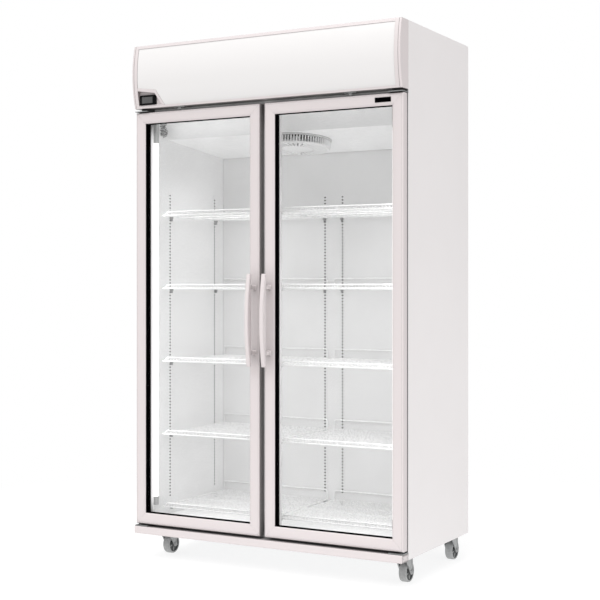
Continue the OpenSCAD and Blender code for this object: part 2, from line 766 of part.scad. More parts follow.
module cabinet_screws() place() color(metal) {
    both_sides() {
        for (y = rail_screw_y) translate([half_w, y, (rail_z0 + rail_z1) / 2])
            rotate([0, 90, 0]) flush_screw(rail_head_r, rail_shank_r, 6);
        for (y = caster_y, i = [-1, 1], k = [-1, 1])
            translate([caster_x + i * 30, y + k * 25, base_z - plate_t]) rotate([180, 0, 0])
                cylinder(r = 6.5, h = 4, $fn = 6);
    }
    for (i = [0:5]) translate([-450 + i * 180, body_d - sheet_t, body_h - 25])
        rotate([-90, 0, 0]) cylinder(r = 4, h = 1.2);
}

// ---- Doors ----

// Section of a frame member: x runs in from the door's outer edge, y is the cabinet's y
module member_section() polygon(concat(
    [[0, door_back]], arc([edge_r, door_front + edge_r], edge_r, 180, 270, 8),
    [[edge_r + line_w, door_front], [edge_r + 1.5 * line_w, door_front + line_d],
        [edge_r + 2 * line_w, door_front], [member_w - bevel_w, door_front],
        [member_w, door_front + bevel_d], [member_w, glass_front],
        [member_w - rebate, glass_front], [member_w - rebate, door_back]]));

// The hollow of a member, open to the glass rebate
module member_hollow() translate([3, door_front + 3])
    square([member_w - rebate - 2, door_t - 6]);

// A mitred member up +Z from the origin, with its outer edge at x = 0
module member(length) intersection() {
    difference() {
        linear_extrude(length) member_section();
        translate([0, 0, corner_solid]) linear_extrude(length - 2 * corner_solid) member_hollow();
    }
    along_y(door_front - 1, door_back + 1) polygon([
        [0, mitre_gap], [member_w, member_w + mitre_gap],
        [member_w, length - member_w - mitre_gap], [0, length - mitre_gap]]);
}

// Everything of a door is drawn as the right-hand door and mirrored for the left
module door_frame() difference() {
    union() {
        translate([door_in, 0, door_z0]) member(door_h);
        translate([door_out, 0, door_z0]) mirror([1, 0, 0]) member(door_h);
        translate([door_out, 0, door_z0]) rotate([0, -90, 0]) member(door_w);
        translate([door_in, 0, door_z1]) rotate([0, 90, 0]) member(door_w);
    }
    for (z = [door_z0 - 1, door_z1 - pin_l - 2])
        translate([pivot_x, pivot_y, z]) cylinder(r = pin_r + pin_fit, h = pin_l + 3);
}

unit_low = [door_in + unit_inset, door_z0 + unit_inset];
unit_high = [door_out - unit_inset, door_z1 - unit_inset];

module door_glass() for (y = [glass_front + gap, glass_back - gap - pane_t])
    block([unit_low[0], y, unit_low[1]], [unit_high[0], y + pane_t, unit_high[1]]);

module door_spacer() frame_ring(unit_low, unit_high, spacer_w,
    glass_front + pane_t + 2 * gap, glass_back - pane_t - 2 * gap);

// Black bead that holds the glass in, with the hollow magnetic seal on it
module door_gasket() {
    low = [door_in + gasket_inset, door_z0 + gasket_inset];
    high = [door_out - gasket_inset, door_z1 - gasket_inset];
    frame_ring(low, high, member_w - gasket_inset, door_back + gap, door_back + gap + bead_t);
    frame_ring(low, high, gasket_w, door_back + gap, gasket_back);
}

// Bowed grip with a straight back, on two posts
module door_handle() {
    half_l = handle_l / 2;
    end_y = handle_back_y - handle_end_t;
    bow = end_y - (door_front - handle_out);
    bow_r = (half_l * half_l + bow * bow) / (2 * bow);
    a = asin(half_l / bow_r);
    centre = [door_front - handle_out + bow_r, handle_z];
    along_x(handle_x - handle_w / 2, handle_x + handle_w / 2)
        polygon(concat(arc(centre, bow_r, 180 - a, 180 + a, 24),
            [[handle_back_y, handle_z - half_l], [handle_back_y, handle_z + half_l]]));
    for (s = [-1, 1]) block(
        [handle_x - post_w / 2, handle_back_y, handle_z + s * post_pitch / 2 - post_h / 2],
        [handle_x + post_w / 2, door_front - 0.01, handle_z + s * post_pitch / 2 + post_h / 2]);
}

module door_left_frame() place() color(frame_white) mirror([1, 0, 0]) door_frame();
module door_left_glass() place() color(glass_tint) mirror([1, 0, 0]) door_glass();
module door_left_spacer() place() color(black) mirror([1, 0, 0]) door_spacer();
module door_left_gasket() place() color(dark_grey) mirror([1, 0, 0]) door_gasket();
module door_left_handle() place() color(frame_white) mirror([1, 0, 0]) door_handle();
module door_right_frame() place() color(frame_white) door_frame();
module door_right_glass() place() color(glass_tint) door_glass();
module door_right_spacer() place() color(black) door_spacer();
module door_right_gasket() place() color(dark_grey) door_gasket();
module door_right_handle() place() color(frame_white) door_handle();

module door_badge() place() color(black)
    block([463, door_front - 1.2, door_z1 - 30.5], [525, door_front - 0.01, door_z1 - 13.5]);

// ---- Casters ----

module caster_plates() place() color(part_grey) both_sides() for (y = caster_y)
    translate([caster_x, y, 0]) {
        translate([0, 0, base_z - plate_t / 2 - gap / 2])
            cube([plate_w, plate_l, plate_t - gap], center = true);
        translate([0, 0, base_z - plate_t - race_h]) cylinder(r = 22, h = race_h + 1);
        translate([0, 0, crown_z1 - crown_t - 1]) cylinder(r = king_r, h = crown_t + 4);
        translate([0, 0, crown_z1 - crown_t - 3.5]) cylinder(r = 9, h = 3);
    }

// One leg of the fork in Y-Z: wide under the crown and narrow at the axle
module fork_leg() polygon(concat([[-24, crown_z1], [24, crown_z1]],
    arc([trail, wheel_r], 9, 10, -170, 10)));

module caster_fork() difference() {
    union() {
        translate([0, 0, crown_z1 - crown_t]) cylinder(r = 24, h = crown_t);
        block([-leg_x - leg_t, -24, crown_z1 - crown_t], [leg_x + leg_t, 24, crown_z1]);
        both_sides() along_x(leg_x, leg_x + leg_t) fork_leg();
        translate([-leg_x - leg_t - 3, trail, wheel_r]) rotate([0, 90, 0])
            cylinder(r = axle_r, h = 2 * (leg_x + leg_t + 3));
        both_sides() translate([leg_x + leg_t - 0.5, trail, wheel_r]) rotate([0, 90, 0])
            cylinder(r = 7, h = 4, $fn = 6);
    }
    translate([0, 0, crown_z1 - crown_t - 1]) cylinder(r = king_r + king_fit, h = crown_t + 2);
}

module caster_wheel() translate([0, trail, wheel_r]) rotate([0, 90, 0]) rotate_extrude() {
    half = wheel_w / 2;
    hub = half + 1.5;
    bore = axle_r + axle_fit;
    polygon(concat([[bore, -hub], [10, -hub], [10, 6 - half], [28, 6 - half], [30, -half]],
        arc([wheel_r - 5, 5 - half], 5, -90, 0, 5), arc([wheel_r - 5, half - 5], 5, 0, 90, 5),
        [[30, half], [28, half - 6], [10, half - 6], [10, hub], [bore, hub]]));
}

// The children at one corner: side is -1 left or 1 right, row is 0 front or 1 rear
module corner(side, row) place() translate([side * caster_x, caster_y[row], 0]) children();

module fork_front_left() color(part_grey) corner(-1, 0) caster_fork();
module fork_front_right() color(part_grey) corner(1, 0) caster_fork();
module fork_rear_left() color(part_grey) corner(-1, 1) caster_fork();
module fork_rear_right() color(part_grey) corner(1, 1) caster_fork();
module wheel_front_left() color(part_grey) corner(-1, 0) caster_wheel();
module wheel_front_right() color(part_grey) corner(1, 0) caster_wheel();
module wheel_rear_left() color(part_grey) corner(-1, 1) caster_wheel();
module wheel_rear_right() color(part_grey) corner(1, 1) caster_wheel();

side_panels();
back_panel();
base_pan();
top_cover();
machine_deck();
foam_insulation();
inner_liner();
front_frame();
centre_mullion();
sill_rail();
shelf_pilasters();
shelf_clips();
shelves_left();
shelves_right();
duct_cover();
evaporator_coil();
fan_guard();
fan_motors();
interior_lamps();
lamp_holders();
compressor();
condenser_coil();
condenser_shroud();
refrigerant_pipes();
electrical_box();
power_cord();
canopy_frame();
canopy_end_caps();
sign_panel();
canopy_lamp();
controller_bezel();
controller_display();
hinge_plates();
door_switches();
cabinet_screws();
caster_plates();
door_left_frame();
door_left_glass();
door_left_spacer();
door_left_gasket();
door_left_handle();
door_right_frame();
door_right_glass();
door_right_spacer();
door_right_gasket();
door_right_handle();
door_badge();
evaporator_fan();
condenser_fan();
key_set();
key_up();
key_down();
fork_front_left();
fork_front_right();
fork_rear_left();
fork_rear_right();
wheel_front_left();
wheel_front_right();
wheel_rear_left();
wheel_rear_right();
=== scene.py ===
import math

import bmesh
import bpy
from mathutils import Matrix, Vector


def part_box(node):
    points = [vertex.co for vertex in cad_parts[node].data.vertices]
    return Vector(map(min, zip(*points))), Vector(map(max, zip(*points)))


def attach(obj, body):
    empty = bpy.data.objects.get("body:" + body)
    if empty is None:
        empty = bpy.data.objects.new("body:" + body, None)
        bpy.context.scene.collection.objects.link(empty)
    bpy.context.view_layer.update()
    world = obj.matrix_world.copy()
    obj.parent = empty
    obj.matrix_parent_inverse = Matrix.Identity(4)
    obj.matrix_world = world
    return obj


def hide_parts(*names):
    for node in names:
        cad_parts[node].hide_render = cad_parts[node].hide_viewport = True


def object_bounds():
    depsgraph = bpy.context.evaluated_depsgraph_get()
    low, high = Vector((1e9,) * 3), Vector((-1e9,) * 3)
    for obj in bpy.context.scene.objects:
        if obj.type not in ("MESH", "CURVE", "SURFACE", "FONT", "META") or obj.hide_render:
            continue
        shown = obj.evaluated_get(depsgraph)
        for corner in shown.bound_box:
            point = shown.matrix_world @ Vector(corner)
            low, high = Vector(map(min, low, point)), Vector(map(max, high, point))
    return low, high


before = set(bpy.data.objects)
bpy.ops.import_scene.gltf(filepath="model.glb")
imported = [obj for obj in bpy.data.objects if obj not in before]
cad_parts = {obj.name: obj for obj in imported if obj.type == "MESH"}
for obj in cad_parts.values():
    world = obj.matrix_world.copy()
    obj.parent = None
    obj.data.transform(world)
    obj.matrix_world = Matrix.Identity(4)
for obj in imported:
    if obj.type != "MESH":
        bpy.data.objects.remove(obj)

CAD_LOW, CAD_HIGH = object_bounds()
MM = 0.001


# ---------------------------------------------------------------- material kit

class Shader:
    """A node material, built with short calls. Patterns use object coordinates, so they stay on
    their piece when its body moves."""

    def __init__(self, name, roughness=0.4, metallic=0.0):
        self.material = bpy.data.materials.new(name)
        self.material.use_nodes = True
        tree = self.material.node_tree
        self.nodes, self.links = tree.nodes, tree.links
        self.nodes.clear()
        self.output = self.nodes.new("ShaderNodeOutputMaterial")
        self.bsdf = self.nodes.new("ShaderNodeBsdfPrincipled")
        self.bsdf.inputs["Roughness"].default_value = roughness
        self.bsdf.inputs["Metallic"].default_value = metallic
        self.join(self.bsdf.outputs[0], self.output.inputs[0])
        self.space = self.nodes.new("ShaderNodeTexCoord").outputs["Object"]

    def join(self, source, target):
        self.links.new(source, target)

    def feed(self, socket, value):
        """Sets an input from a number, a colour or another node's output."""
        if isinstance(value, bpy.types.NodeSocket):
            self.join(value, socket)
        else:
            socket.default_value = value

    def stretch(self, x, y, z):
        """Object coordinates with each axis scaled."""
        node = self.nodes.new("ShaderNodeMapping")
        node.inputs["Scale"].default_value = (x, y, z)
        self.join(self.space, node.inputs["Vector"])
        return node.outputs[0]

    def noise(self, scale, detail, space=None):
        node = self.nodes.new("ShaderNodeTexNoise")
        node.inputs["Scale"].default_value = scale
        node.inputs["Detail"].default_value = detail
        self.join(space or self.space, node.inputs["Vector"])
        return node.outputs["Fac"]

    def cells(self, scale, feature="F1", space=None):
        node = self.nodes.new("ShaderNodeTexVoronoi")
        node.feature = feature
        node.inputs["Scale"].default_value = scale
        self.join(space or self.space, node.inputs["Vector"])
        return node.outputs["Distance"]

    def wave(self, scale, direction):
        node = self.nodes.new("ShaderNodeTexWave")
        node.bands_direction = direction
        node.inputs["Scale"].default_value = scale
        self.join(self.space, node.inputs["Vector"])
        return node.outputs["Fac"]

    def axis(self, name):
        """One object coordinate, in metres."""
        node = self.nodes.new("ShaderNodeSeparateXYZ")
        self.join(self.space, node.inputs[0])
        return node.outputs[name]

    def span(self, value, low, high, to_low=0.0, to_high=1.0):
        """value mapped from low..high to to_low..to_high, clamped."""
        node = self.nodes.new("ShaderNodeMapRange")
        for socket, number in zip(node.inputs, (value, low, high, to_low, to_high)):
            self.feed(socket, number)
        return node.outputs[0]

    def mix(self, share, first, second):
        """A blend of two colours. A Mix node's colour sockets are inputs 6 and 7 and output 2."""
        node = self.nodes.new("ShaderNodeMix")
        node.data_type = "RGBA"
        self.feed(node.inputs["Factor"], share)
        self.feed(node.inputs[6], first)
        self.feed(node.inputs[7], second)
        return node.outputs[2]

    def calc(self, operation, first, second=0.0):
        """One step of arithmetic, named as Blender's Math node names it."""
        node = self.nodes.new("ShaderNodeMath")
        node.operation = operation
        self.feed(node.inputs[0], first)
        self.feed(node.inputs[1], second)
        return node.outputs[0]

    def colour(self, value):
        self.feed(self.bsdf.inputs["Base Color"], value)
        return self

    def rough(self, value):
        self.feed(self.bsdf.inputs["Roughness"], value)
        return self

    def bump(self, height, strength, distance):
        node = self.nodes.new("ShaderNodeBump")
        node.inputs["Strength"].default_value = strength
        node.inputs["Distance"].default_value = distance
        self.join(height, node.inputs["Height"])
        self.join(node.outputs[0], self.bsdf.inputs["Normal"])
        return self

    def coat(self, weight, roughness=0.1):
        self.bsdf.inputs["Coat Weight"].default_value = weight
        self.bsdf.inputs["Coat Roughness"].default_value = roughness
        return self

    def painted_crevice_shade(self, colour, reach, power):
        """A colour darkened in narrow gaps and corners by an ambient-occlusion mask: painted shade."""
        node = self.nodes.new("ShaderNodeAmbientOcclusion")
        node.samples = 6
        node.inputs["Distance"].default_value = reach
        open_share = self.calc("POWER", node.outputs["AO"], power)
        return self.mix(open_share, (0.03, 0.026, 0.026, 1), colour)

    def matt(self, level):
        self.bsdf.inputs["Specular IOR Level"].default_value = level
        return self

    def glow(self, colour, strength):
        self.feed(self.bsdf.inputs["Emission Color"], colour)
        self.feed(self.bsdf.inputs["Emission Strength"], strength)
        return self


def shade(colour, factor):
    """A colour made lighter or darker, with an alpha of 1."""
    return tuple(min(1.0, c * factor) for c in colour[:3]) + (1.0,)


def painted(name, colour, roughness, coat, peel=0.06, reach=0.03, power=1.0):
    """Powder coat: fine orange peel, a faint cloudiness, uneven gloss and painted shade in gaps and
    corners.
    """
    s = Shader(name)
    cloud = s.noise(2.5, 3.0)
    speck = s.noise(1400.0, 1.0)
    tone = s.mix(s.span(cloud, 0.3, 0.7), shade(colour, 0.985), shade(colour, 1.01))
    tone = s.mix(s.span(speck, 0.62, 0.75, 0.0, 0.12), tone, shade(colour, 0.9))
    # Painted shade: the tone falls towards near black wherever the ambient-occlusion mask finds a gap
    # within reach.
    s.colour(s.painted_crevice_shade(tone, reach, power))
    s.rough(s.span(s.noise(9.0, 4.0), 0.3, 0.7, roughness - 0.05, roughness + 0.06))
    s.bump(s.noise(520.0, 2.0), peel, 0.4 * MM)
    return s.coat(coat, 0.25).material


def moulded(name, colour, roughness=0.42, grain=900.0, specular=0.5):
    """Moulded plastic with a fine spark-eroded grain."""
    s = Shader(name).matt(specular)
    cloud = s.noise(14.0, 2.0)
    s.colour(s.mix(s.span(cloud, 0.3, 0.7), shade(colour, 0.96), shade(colour, 1.03)))
    s.rough(s.span(s.noise(60.0, 3.0), 0.3, 0.7, roughness - 0.06, roughness + 0.08))
    return s.bump(s.cells(grain), 0.12, 0.15 * MM).material


def metal_sheet(name, colour, roughness, spangle):
    """Galvanised sheet: crystal spangle in tone and gloss."""
    s = Shader(name, metallic=0.85)
    cell = s.cells(spangle)
    s.colour(s.mix(s.span(cell, 0.0, 0.7), shade(colour, 0.85), shade(colour, 1.12)))
    s.rough(s.span(s.cells(spangle * 0.7), 0.0, 0.8, roughness - 0.1, roughness + 0.12))
    return s.bump(s.noise(240.0, 2.0), 0.05, 0.2 * MM).material


def make_materials():
    """Every material, by a short name."""
    pink_white = (0.675, 0.618, 0.618)
    m = {}
    # reach and power set how far and how strongly each coat's painted crevice shade spreads; the handle
    # has its own coat for painted shade on its sides near the door.
    m["front"] = painted("front_powder_coat", shade(pink_white, 0.965), 0.4, 0.15, reach=0.06, power=0.9)
    m["handle"] = painted("handle_powder_coat", pink_white, 0.4, 0.15, reach=0.035, power=0.6)
    m["side"] = painted("side_powder_coat", (0.80, 0.77, 0.77), 0.42, 0.1, 0.1)
    m["canopy"] = painted("canopy_plastic", pink_white, 0.34, 0.2, 0.03)
    m["bezel"] = painted("bezel_plastic", pink_white, 0.34, 0.2, 0.03, reach=0.004)
    m["insert"] = insert_plastic()
    m["bead"] = moulded("sign_bead", (0.34, 0.31, 0.31), 0.6)
    m["cable"] = moulded("cable_sheath", (0.2, 0.2, 0.2), 0.4, 400.0)
    m["guard"] = painted("guard_plastic", (0.86, 0.86, 0.86), 0.4, 0.0, reach=0.006, power=1.2)
    m["grey"] = moulded("grey_plastic", (0.56, 0.56, 0.56))
    m["switch"] = moulded("switch_plastic", (0.22, 0.22, 0.22))
    m["clip"] = metal_sheet("clip_steel", (0.42, 0.42, 0.42), 0.4, 500.0)
    m["hole"] = moulded("pilaster_painted_shade", (0.05, 0.05, 0.05), 0.8, specular=0.1)
    m["dark"] = moulded("dark_plastic", (0.004, 0.004, 0.0045), 0.35, specular=0.08)
    m["seal"] = moulded("black_spacer", (0.001, 0.001, 0.0012), 0.6, 1500.0, specular=0.0)
    m["caster_steel"] = caster_steel()
    m["tread"] = caster_rubber("caster_tread", (0.40, 0.405, 0.405))
    m["disc"] = caster_rubber("caster_disc", (0.09, 0.095, 0.095))
    m["liner"] = liner_sheet()
    m["wire"] = coated_wire()
    m["glass"] = thin_glass()
    m["rubber"] = seal_rubber()
    m["lamp"] = lamp_cover()
    m["sign"] = sign_acrylic()
    m["zinc"] = metal_sheet("galvanised_steel", (0.55, 0.56, 0.57), 0.42, 90.0)
    m["fins"] = fin_stock()
    m["copper"] = copper_tube()
    m["black_paint"] = painted("black_paint", (0.02, 0.02, 0.021), 0.35, 0.3, 0.2)
    m["foam"] = rigid_foam()
    m["screw"] = metal_sheet("screw_steel", (0.5, 0.5, 0.5), 0.35, 600.0)
    m["lcd"] = lcd_glass()
    m["hinge"] = painted("hinge_paint", (0.22, 0.225, 0.225), 0.4, 0.1, 0.2)
    return m


def insert_plastic():
    """White plastic. Where it lines a door opening beside the lamps and the mullion it glows though it
    is no lamp: painted light on a lip that the door shades.
    """
    s = Shader("white_plastic", roughness=0.42)
    tone = s.span(s.noise(14.0, 2.0), 0.3, 0.7)
    s.colour(s.mix(tone, (0.77, 0.76, 0.755, 1), (0.82, 0.81, 0.805, 1)))
    lamps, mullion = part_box("interior_lamps"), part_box("centre_mullion")
    outward = s.calc("ABSOLUTE", s.axis("X"))
    jamb = s.span(outward, lamps[1].x - 20 * MM, lamps[1].x - 10 * MM, 0.0, 0.5)
    inner = s.span(outward, mullion[1].x - 4 * MM, mullion[1].x - 2 * MM, 0.12, 0.0)
    low = s.span(s.axis("Z"), lamps[0].z - 60 * MM, lamps[0].z)
    high = s.span(s.axis("Z"), lamps[1].z + 10 * MM, lamps[1].z + 70 * MM, 1.0, 0.0)
    beside, between = s.calc("MAXIMUM", jamb, inner), s.calc("MULTIPLY", low, high)
    # Painted light: emission near the jamb lamps and beside the mullion, bounded to the height of the
    # lamps.
    s.glow((1, 1, 1, 1), s.calc("MULTIPLY", beside, between))
    return s.bump(s.cells(900.0), 0.12, 0.15 * MM).material


def caster_steel():
    """Dull zinc-plated steel, faintly mottled."""
    s = Shader("caster_steel", roughness=0.42, metallic=0.35)
    tone = s.span(s.noise(70.0, 4.0), 0.3, 0.7)
    s.colour(s.mix(tone, (0.33, 0.335, 0.335, 1), (0.42, 0.425, 0.425, 1)))
    s.rough(s.span(s.noise(160.0, 2.0), 0.3, 0.7, 0.34, 0.5))
    return s.bump(s.noise(700.0, 2.0), 0.1, 0.2 * MM).material


def caster_rubber(name, colour):
    """Moulded wheel rubber with a fine, uneven grain."""
    s = Shader(name)
    tone = s.span(s.noise(120.0, 4.0), 0.3, 0.7)
    s.colour(s.mix(tone, shade(colour, 0.88), shade(colour, 1.08)))
    s.rough(s.span(s.noise(300.0, 2.0), 0.3, 0.7, 0.5, 0.68))
    return s.bump(s.noise(1200.0, 3.0), 0.25, 0.15 * MM).material


def liner_sheet():
    """Stucco-embossed white sheet: shallow dimples, a fine horizontal grain, and a faint glow
    that stands in for light bounced about the bay."""
    s = Shader("embossed_liner", roughness=0.4)
    grain = s.noise(1.0, 3.0, s.stretch(60.0, 60.0, 420.0))
    tone = s.mix(s.span(grain, 0.35, 0.65), (0.76, 0.76, 0.76, 1), (0.81, 0.81, 0.81, 1))
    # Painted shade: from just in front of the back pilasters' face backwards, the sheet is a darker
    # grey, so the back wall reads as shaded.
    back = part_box("shelf_pilasters")[1].y
    s.colour(s.mix(s.span(s.axis("Y"), back - 4 * MM, back - 3 * MM), tone, (0.67, 0.67, 0.67, 1)))
    s.rough(s.span(s.noise(8.0, 3.0), 0.3, 0.7, 0.34, 0.46))
    dimple = s.cells(140.0, "SMOOTH_F1", s.stretch(1.0, 1.0, 1.35))
    s.bump(dimple, 0.32, 0.6 * MM)
    return s.glow((1.0, 1.0, 1.0, 1), 0.12).material


def coated_wire():
    """White dip-coated wire, glossy, with slight unevenness and a faint emission that paints in the
    light of the bay.
    """
    s = Shader("coated_wire", roughness=0.28)
    tone = s.mix(s.span(s.noise(40.0, 3.0), 0.3, 0.7), (0.78, 0.78, 0.78, 1), (0.84, 0.84, 0.84, 1))
    # Painted light: a faint glow on the wire.
    s.colour(tone).glow((1.0, 1.0, 1.0, 1), 0.07)
    s.rough(s.span(s.noise(90.0, 2.0), 0.3, 0.7, 0.22, 0.34))
    return s.bump(s.noise(600.0, 2.0), 0.06, 0.2 * MM).coat(0.4).material


def thin_glass():
    """Clear float glass: lets light through straight, and reflects more at a glancing angle."""
    s = Shader("door_glass")
    clear = s.nodes.new("ShaderNodeBsdfTransparent")
    smear = s.span(s.noise(5.0, 5.0), 0.35, 0.75)
    s.feed(clear.inputs[0], s.mix(smear, (0.99, 0.99, 0.99, 1), (0.978, 0.978, 0.978, 1)))
    mirror = s.nodes.new("ShaderNodeBsdfGlossy")
    mirror.inputs["Roughness"].default_value = 0.015
    fresnel = s.nodes.new("ShaderNodeFresnel")
    fresnel.inputs["IOR"].default_value = 1.3
    blend = s.nodes.new("ShaderNodeMixShader")
    s.join(s.calc("MULTIPLY", fresnel.outputs[0], 0.01), blend.inputs[0])
    s.join(clear.outputs[0], blend.inputs[1])
    s.join(mirror.outputs[0], blend.inputs[2])
    s.join(blend.outputs[0], s.output.inputs[0])
    return s.material


def seal_rubber():
    """Soft black seal, matt and lightly grained."""
    s = Shader("seal_rubber").matt(0.12)
    tone = s.span(s.noise(50.0, 3.0), 0.3, 0.7)
    s.colour(s.mix(tone, (0.006, 0.006, 0.0065, 1), (0.012, 0.012, 0.0125, 1)))
    s.rough(s.span(s.noise(180.0, 3.0), 0.3, 0.7, 0.5, 0.7))
    return s.bump(s.noise(900.0, 2.0), 0.2, 0.15 * MM).material


def lamp_cover():
    """Frosted lamp cover with the light of the strip behind it."""
    s = Shader("lamp_cover", roughness=0.3)
    s.colour((0.95, 0.95, 0.94, 1))
    ripple = s.span(s.wave(30.0, "Z"), 0.0, 1.0, 0.94, 1.0)
    s.glow((1.0, 1.0, 0.985, 1), s.calc("MULTIPLY", ripple, 1.2))
    return s.bump(s.noise(800.0, 2.0), 0.05, 0.2 * MM).material


def sign_acrylic():
    """Opal acrylic, lit from behind by the canopy lamp as a faint glow. Colour and glow grow towards the
    top: a painted highlight of light from above.
    """
    low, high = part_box("sign_panel")
    s = Shader("sign_acrylic", roughness=0.22)
    # Painted highlight: colour and glow rise from the bottom to the top of the sign.
    height = s.span(s.axis("Z"), low.z, high.z)
    s.colour(s.mix(height, (0.71, 0.695, 0.69, 1), (0.745, 0.73, 0.725, 1)))
    s.glow((1.0, 0.985, 0.975, 1), s.span(height, 0.0, 1.0, 0.02, 0.05))
    s.rough(s.span(s.noise(6.0, 3.0), 0.3, 0.7, 0.18, 0.28))
    return s.bump(s.noise(3.0, 1.0), 0.02, 1.0 * MM).coat(0.5, 0.08).material


def fin_stock():
    """Thin aluminium fins, stacked close."""
    s = Shader("fin_aluminium", roughness=0.38, metallic=0.9)
    tone = s.span(s.noise(1.0, 3.0, s.stretch(20.0, 20.0, 300.0)), 0.3, 0.7)
    s.colour(s.mix(tone, (0.60, 0.61, 0.62, 1), (0.74, 0.75, 0.76, 1)))
    return s.bump(s.wave(60.0, "Z"), 0.1, 0.2 * MM).material


def copper_tube():
    """Copper with patches of tarnish."""
    s = Shader("copper_tube", roughness=0.3, metallic=1.0)
    tone = s.span(s.noise(35.0, 4.0), 0.3, 0.75)
    s.colour(s.mix(tone, (0.72, 0.36, 0.20, 1), (0.38, 0.19, 0.11, 1)))
    return s.rough(s.span(s.noise(80.0, 2.0), 0.3, 0.7, 0.24, 0.46)).material


def rigid_foam():
    """Poured insulation foam, yellow and pitted."""
    s = Shader("rigid_foam", roughness=0.9)
    tone = s.span(s.noise(30.0, 5.0), 0.3, 0.7)
    s.colour(s.mix(tone, (0.80, 0.70, 0.42, 1), (0.90, 0.82, 0.56, 1)))
    return s.bump(s.cells(500.0), 0.4, 0.5 * MM).material


def lcd_glass():
    """Unlit liquid-crystal window: dark grey and faintly uneven."""
    s = Shader("lcd_window", roughness=0.2)
    tone = s.span(s.noise(90.0, 2.0), 0.3, 0.7)
    s.colour(s.mix(tone, (0.085, 0.085, 0.085, 1), (0.10, 0.10, 0.10, 1)))
    return s.matt(0.2).material


# ---------------------------------------------------------------- mesh kit

def build(name, mesh, body, material):
    """Finishes a bmesh as a piece that rides on a body."""
    bmesh.ops.recalc_face_normals(mesh, faces=mesh.faces)
    data = bpy.data.meshes.new(name)
    mesh.to_mesh(data)
    mesh.free()
    piece = bpy.data.objects.new(name, data)
    bpy.context.scene.collection.objects.link(piece)
    data.materials.append(material)
    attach(piece, body)
    return piece


def smooth(piece, angle=35.0):
    """Smooth shading with hard edges above an angle."""
    data = piece.data
    data.polygons.foreach_set("use_smooth", [True] * len(data.polygons))
    data.set_sharp_from_angle(angle=math.radians(angle))
    return piece


def rounded_path(points, radius, steps=5, closed=False):
    """A polyline with its corners turned into arcs of a radius."""
    count = len(points)
    path = []
    for i, corner in enumerate(points):
        if not closed and i in (0, count - 1):
            path.append(corner.copy())
            continue
        before = (points[i - 1] - corner).normalized()
        after = (points[(i + 1) % count] - corner).normalized()
        half = before.angle(after) / 2
        reach = radius / math.tan(half)
        start, end = corner + before * reach, corner + after * reach
        for k in range(steps + 1):
            t = k / steps
            first, second = start.lerp(corner, t), corner.lerp(end, t)
            path.append(first.lerp(second, t))
    return path


def add_wire(mesh, path, radius, sides=8, closed=False):
    """A round wire along a path, with flat ends unless it is closed."""
    rings = []
    count = len(path)
    frame_side = None
    for i, point in enumerate(path):
        before = path[i - 1] if (i or closed) else point
        after = path[(i + 1) % count] if (i < count - 1 or closed) else point
        along = (after - before).normalized()
        if frame_side is None:
            frame_side = along.orthogonal().normalized()
        frame_side = (frame_side - along * frame_side.dot(along)).normalized()
        other = along.cross(frame_side)
        ring = []
        for k in range(sides):
            a = 2 * math.pi * k / sides
            offset = frame_side * math.cos(a) + other * math.sin(a)
            ring.append(mesh.verts.new(point + radius * offset))
        rings.append(ring)
    pairs = list(zip(rings, rings[1:])) + ([(rings[-1], rings[0])] if closed else [])
    for low, high in pairs:
        for k in range(sides):
            j = (k + 1) % sides
            mesh.faces.new((low[k], low[j], high[j], high[k]))
    if not closed:
        mesh.faces.new(rings[0][::-1])
        mesh.faces.new(rings[-1])


def dress(node, material, bevel):
    """Gives a CAD node its material, soft edges and clean shading. bevel is in millimetres."""
    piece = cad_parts[node]
    data = piece.data
    if "custom_normal" in data.attributes:
        data.attributes.remove(data.attributes["custom_normal"])
    data.polygons.foreach_set("use_smooth", [True] * len(data.polygons))
    data.materials.clear()
    data.materials.append(material)
    weld = piece.modifiers.new("weld", "WELD")
    weld.merge_threshold = 0.01 * MM
    if bevel:
        edge = piece.modifiers.new("soft_edges", "BEVEL")
        edge.width = bevel * MM
        edge.segments = 2
        edge.limit_method = "ANGLE"
        edge.angle_limit = math.radians(32)
        edge.use_clamp_overlap = True
        edge.harden_normals = False
    tidy = piece.modifiers.new("flat_faces", "WEIGHTED_NORMAL")
    tidy.keep_sharp = True
    return piece


# ---------------------------------------------------------------- pieces

